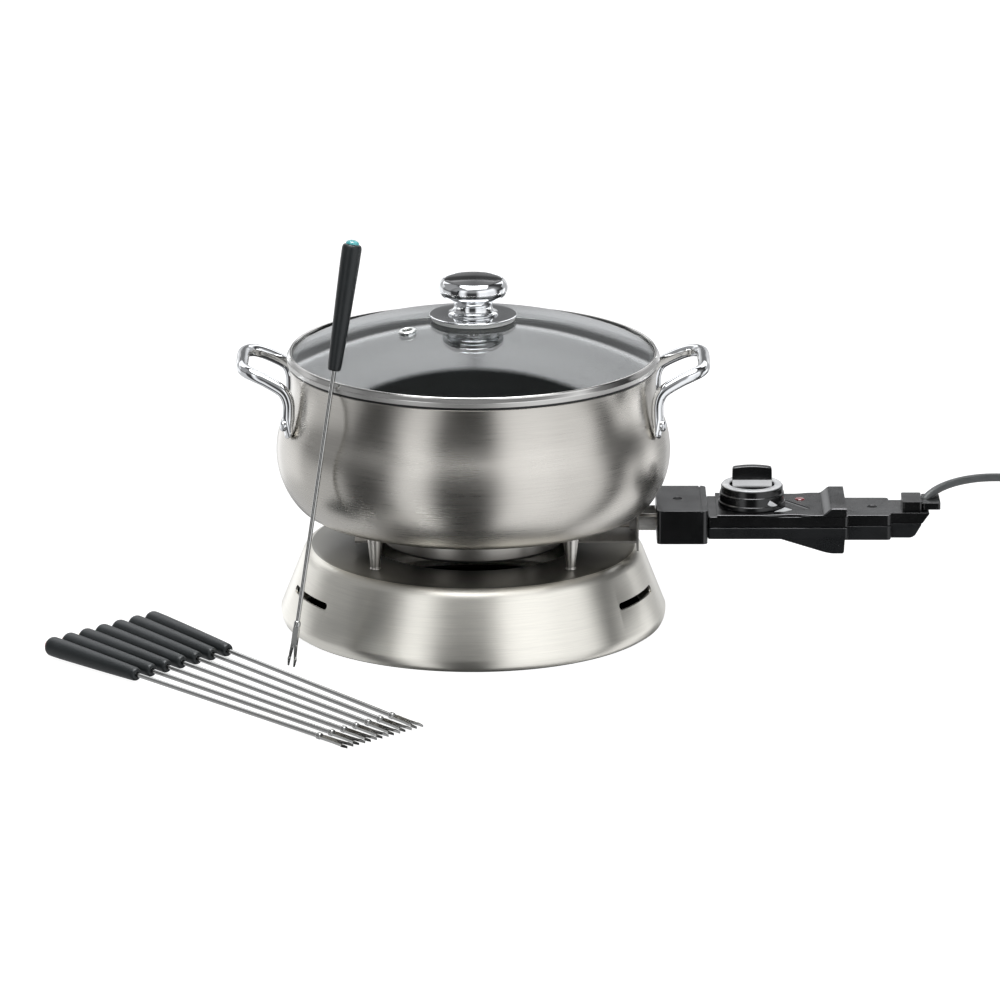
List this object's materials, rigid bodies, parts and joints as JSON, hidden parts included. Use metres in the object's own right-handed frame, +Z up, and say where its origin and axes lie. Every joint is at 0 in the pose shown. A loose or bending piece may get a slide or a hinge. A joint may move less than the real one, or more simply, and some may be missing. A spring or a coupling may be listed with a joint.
{
  "type": "fondue pot set",
  "caption": "Electric fondue pot on a skirted base, with a domed glass lid, two loop handles, a plug-in temperature control on a cord, and long two-tined forks.",
  "frame": {"origin": "centre of the base's contact ring, on the table", "axes": "+Z up, +X from the pot towards the temperature control, -Y towards the forks"},
  "size_m": [0.6481, 0.3848, 0.2445],
  "materials": {
    "brushed_steel": "brushed stainless steel, fine lines round the axis",
    "satin_steel": "satin stainless steel",
    "chrome": "polished chrome",
    "nonstick": "dark grey non-stick coating on aluminium",
    "zinc_steel": "zinc-plated steel",
    "element_sheath": "oxidised metal sheath",
    "ceramic": "unglazed grey ceramic",
    "brass": "plain brass",
    "rubber": "matt black rubber",
    "dome_glass": "clear tempered glass",
    "black_plastic": "satin black phenolic plastic",
    "face_plastic": "satin charcoal plastic",
    "red_lens": "clear red plastic",
    "bimetal": "plain metal",
    "silver_plastic": "silver-plated plastic",
    "cord_rubber": "grey flexible sheath",
    "plug_rubber": "moulded black plug",
    "fork_grip": "charcoal plastic with a fine grain",
    "fork_steel": "polished stainless steel",
    "cap_red": "red plastic cap",
    "cap_orange": "orange plastic cap",
    "cap_yellow": "yellow plastic cap",
    "cap_green": "green plastic cap",
    "cap_blue": "blue plastic cap",
    "cap_violet": "violet plastic cap",
    "cap_white": "white plastic cap",
    "cap_teal": "teal plastic cap"
  },
  "bodies": {
    "base": {"base_skirt": "brushed_steel", "foot_ring": "rubber", "support_posts": "satin_steel", "post_screws": "zinc_steel", "pot_shell": "brushed_steel", "nonstick_liner": "nonstick", "heater_housing": "satin_steel", "heating_element": "element_sheath", "terminal_pins": "satin_steel", "terminal_insulators": "ceramic", "terminal_guard": "satin_steel", "left_handle": "chrome", "right_handle": "chrome", "handle_rivets": "chrome"},
    "lid": {"lid_glass": "dome_glass", "lid_rim_band": "satin_steel", "vent_grommet": "chrome", "lid_knob": "chrome", "knob_escutcheon": "chrome", "knob_screw": "zinc_steel"},
    "control": {"plug_housing": "black_plastic", "control_upper_housing": "black_plastic", "control_lower_housing": "black_plastic", "control_faceplate": "face_plastic", "indicator_lens": "red_lens", "sensor_probe": "satin_steel", "contact_sleeves": "brass", "thermostat_block": "bimetal", "housing_screws": "zinc_steel", "cord_clamp": "black_plastic", "power_cord": "cord_rubber", "plug_body": "plug_rubber", "plug_blades": "brass"},
    "dial": {"dial_knob": "black_plastic", "dial_ring": "silver_plastic", "dial_spindle": "satin_steel"},
    "fork_1": {"fork_1_handle": "fork_grip", "fork_1_prongs": "fork_steel", "fork_1_cap": "cap_red"},
    "fork_2": {"fork_2_handle": "fork_grip", "fork_2_prongs": "fork_steel", "fork_2_cap": "cap_orange"},
    "fork_3": {"fork_3_handle": "fork_grip", "fork_3_prongs": "fork_steel", "fork_3_cap": "cap_yellow"},
    "fork_4": {"fork_4_handle": "fork_grip", "fork_4_prongs": "fork_steel", "fork_4_cap": "cap_green"},
    "fork_5": {"fork_5_handle": "fork_grip", "fork_5_prongs": "fork_steel", "fork_5_cap": "cap_blue"},
    "fork_6": {"fork_6_handle": "fork_grip", "fork_6_prongs": "fork_steel", "fork_6_cap": "cap_violet"},
    "fork_7": {"fork_7_handle": "fork_grip", "fork_7_prongs": "fork_steel", "fork_7_cap": "cap_white"},
    "fork_8": {"fork_8_handle": "fork_grip", "fork_8_prongs": "fork_steel", "fork_8_cap": "cap_teal"}
  },
  "joints": [
    {"name": "lid_lift", "type": "slide", "parent": "base", "child": "lid", "axis": [0.4671, 0.5308, 0.7071], "range_m": [0, 0.09]},
    {"name": "control_unplug", "type": "slide", "parent": "base", "child": "control", "axis": [1, 0, 0], "range_m": [0, 0.09]},
    {"name": "dial_turn", "type": "hinge", "parent": "control", "child": "dial", "pos_m": [0.163, 0, 0.069], "axis": [0, 0, -1], "range_deg": [0, 270]},
    {"name": "fork_1_lift", "type": "slide", "parent": "base", "child": "fork_1", "axis": [0, 0, 1], "range_m": [0, 0.07]},
    {"name": "fork_2_lift", "type": "slide", "parent": "base", "child": "fork_2", "axis": [0, 0, 1], "range_m": [0, 0.07]},
    {"name": "fork_3_lift", "type": "slide", "parent": "base", "child": "fork_3", "axis": [0, 0, 1], "range_m": [0, 0.07]},
    {"name": "fork_4_lift", "type": "slide", "parent": "base", "child": "fork_4", "axis": [0, 0, 1], "range_m": [0, 0.07]},
    {"name": "fork_5_lift", "type": "slide", "parent": "base", "child": "fork_5", "axis": [0, 0, 1], "range_m": [0, 0.07]},
    {"name": "fork_6_lift", "type": "slide", "parent": "base", "child": "fork_6", "axis": [0, 0, 1], "range_m": [0, 0.07]},
    {"name": "fork_7_lift", "type": "slide", "parent": "base", "child": "fork_7", "axis": [0, 0, 1], "range_m": [0, 0.07]},
    {"name": "fork_8_lift", "type": "slide", "parent": "base", "child": "fork_8", "axis": [0.1458, 0.1466, 0.9784], "range_m": [0, 0.08]}
  ]
}
